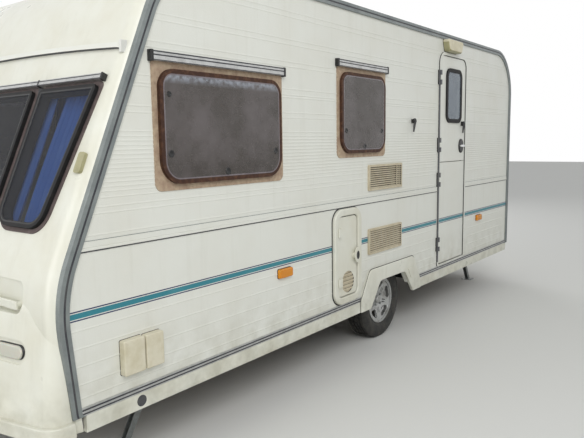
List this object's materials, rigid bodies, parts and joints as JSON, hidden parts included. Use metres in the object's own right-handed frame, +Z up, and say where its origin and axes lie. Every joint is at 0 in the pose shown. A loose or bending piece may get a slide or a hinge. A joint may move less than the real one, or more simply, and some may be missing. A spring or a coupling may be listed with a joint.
{
  "type": "travel caravan",
  "caption": "Single-axle touring caravan body on a braked drawbar chassis, with a two-leaf entrance door, locker hatch, corner steadies and jockey wheel.",
  "frame": {"origin": "on the ground, under the middle of the overall length and width", "axes": "+X forward to the coupling, +Y to the door side, +Z up"},
  "size_m": [6.9079, 2.268, 2.5803],
  "materials": {
    "wall_panel": "painted, embossed",
    "moulded_panel": "gel coat",
    "rail_metal": "weathered",
    "trim_metal": "satin",
    "window_rubber": "matt",
    "smoked_pane": "scratched",
    "vent_plastic": "matt",
    "box_plastic": "yellowed",
    "amber_lens": "gloss",
    "clear_lens": "gloss",
    "red_lens": "gloss",
    "plate": "satin",
    "black_plastic": "matt",
    "cream_plastic": "satin",
    "galvanised": "galvanised",
    "cast_steel": "painted",
    "tyre": "matt",
    "alloy": "painted",
    "floor_ply": "plain",
    "furniture_board": "foil",
    "liner_plastic": "matt",
    "cushion_fabric": "woven",
    "curtain_fabric": "woven",
    "jockey_rubber": "matt"
  },
  "bodies": {
    "caravan": {"floor_panel": "floor_ply", "side_wall_left": "wall_panel", "side_wall_right": "wall_panel", "front_panel": "moulded_panel", "rear_panel": "moulded_panel", "roof_panel": "moulded_panel", "awning_rails": "rail_metal", "front_gutter": "rail_metal", "sill_trims": "trim_metal", "skirts": "moulded_panel", "window_rims": "window_rubber", "window_panes": "smoked_pane", "window_rails": "trim_metal", "appliance_vents": "vent_plastic", "gas_hatch_frame": "moulded_panel", "gas_locker_liner": "liner_plastic", "inlet_boxes": "box_plastic", "side_markers": "amber_lens", "front_markers": "clear_lens", "rear_lamps": "red_lens", "number_plate": "plate", "grab_handles": "cream_plastic", "awning_lamp": "cream_plastic", "wall_catch": "black_plastic", "door_frame": "wall_panel", "wheel_boxes": "black_plastic", "chassis_member_left": "galvanised", "chassis_member_right": "galvanised", "cross_members": "galvanised", "drawbar": "galvanised", "axle": "cast_steel", "coupling_head": "cast_steel", "hand_brake": "cast_steel", "jockey_tube": "galvanised", "steady_brackets": "galvanised", "rooflight_frame": "cream_plastic", "roof_vent": "cream_plastic", "furniture": "furniture_board", "seat_cushions": "cushion_fabric", "curtain_tracks": "cream_plastic", "curtains": "curtain_fabric"},
    "door_upper": {"door_upper": "wall_panel", "door_window_rim": "window_rubber", "door_window_pane": "smoked_pane", "door_lock": "black_plastic"},
    "door_lower": {"door_lower": "wall_panel"},
    "gas_hatch": {"gas_hatch_door": "moulded_panel"},
    "wheel_l": {"tyre_left": "tyre", "wheel_left": "alloy"},
    "wheel_r": {"tyre_right": "tyre", "wheel_right": "alloy"},
    "steady_fl": {"steady_leg_front_left": "galvanised"},
    "steady_fr": {"steady_leg_front_right": "galvanised"},
    "steady_rl": {"steady_leg_rear_left": "galvanised"},
    "steady_rr": {"steady_leg_rear_right": "galvanised"},
    "jockey_leg": {"jockey_inner": "galvanised"},
    "jockey_caster": {"jockey_fork": "galvanised"},
    "jockey_roller": {"jockey_wheel": "jockey_rubber"},
    "rooflight": {"rooflight_lid": "cream_plastic"}
  },
  "joints": [
    {"name": "door_upper_swing", "type": "hinge", "parent": "caravan", "child": "door_upper", "pos_m": [-1.525, 1.107, 1.81], "axis": [0, 0, -1], "range_deg": [0, 165]},
    {"name": "door_lower_swing", "type": "hinge", "parent": "caravan", "child": "door_lower", "pos_m": [-1.525, 1.107, 0.93], "axis": [0, 0, -1], "range_deg": [0, 165]},
    {"name": "gas_hatch_swing", "type": "hinge", "parent": "caravan", "child": "gas_hatch", "pos_m": [0.121, 1.12, 0.766], "axis": [0, 0, -1], "range_deg": [0, 150]},
    {"name": "wheel_left_spin", "type": "hinge", "parent": "caravan", "child": "wheel_l", "pos_m": [-0.67, 0.925, 0.3], "axis": [0, 1, 0], "continuous": true},
    {"name": "wheel_right_spin", "type": "hinge", "parent": "caravan", "child": "wheel_r", "pos_m": [-0.67, -0.925, 0.3], "axis": [0, 1, 0], "continuous": true},
    {"name": "jockey_slide", "type": "slide", "parent": "caravan", "child": "jockey_leg", "axis": [0, 0, 1], "range_m": [-0.05, 0.08]},
    {"name": "jockey_swivel", "type": "hinge", "parent": "jockey_leg", "child": "jockey_caster", "pos_m": [2.83, -0.20335, 0.2], "axis": [0, 0, 1], "continuous": true},
    {"name": "jockey_spin", "type": "hinge", "parent": "jockey_caster", "child": "jockey_roller", "pos_m": [2.775, -0.20335, 0.1], "axis": [0, 1, 0], "continuous": true},
    {"name": "rooflight_tilt", "type": "hinge", "parent": "caravan", "child": "rooflight", "pos_m": [0.394, 0, 2.534], "axis": [0, -1, 0], "range_deg": [0, 50]},
    {"name": "steady_fl_fold", "type": "hinge", "parent": "caravan", "child": "steady_fl", "pos_m": [1.48, 0.79, 0.372], "axis": [0, -1, 0], "range_deg": [0, 50]},
    {"name": "steady_fr_fold", "type": "hinge", "parent": "caravan", "child": "steady_fr", "pos_m": [1.48, -0.79, 0.372], "axis": [0, -1, 0], "range_deg": [0, 50]},
    {"name": "steady_rl_fold", "type": "hinge", "parent": "caravan", "child": "steady_rl", "pos_m": [-2.82, 0.79, 0.372], "axis": [0, 1, 0], "range_deg": [0, 50]},
    {"name": "steady_rr_fold", "type": "hinge", "parent": "caravan", "child": "steady_rr", "pos_m": [-2.82, -0.79, 0.372], "axis": [0, 1, 0], "range_deg": [0, 50]}
  ]
}
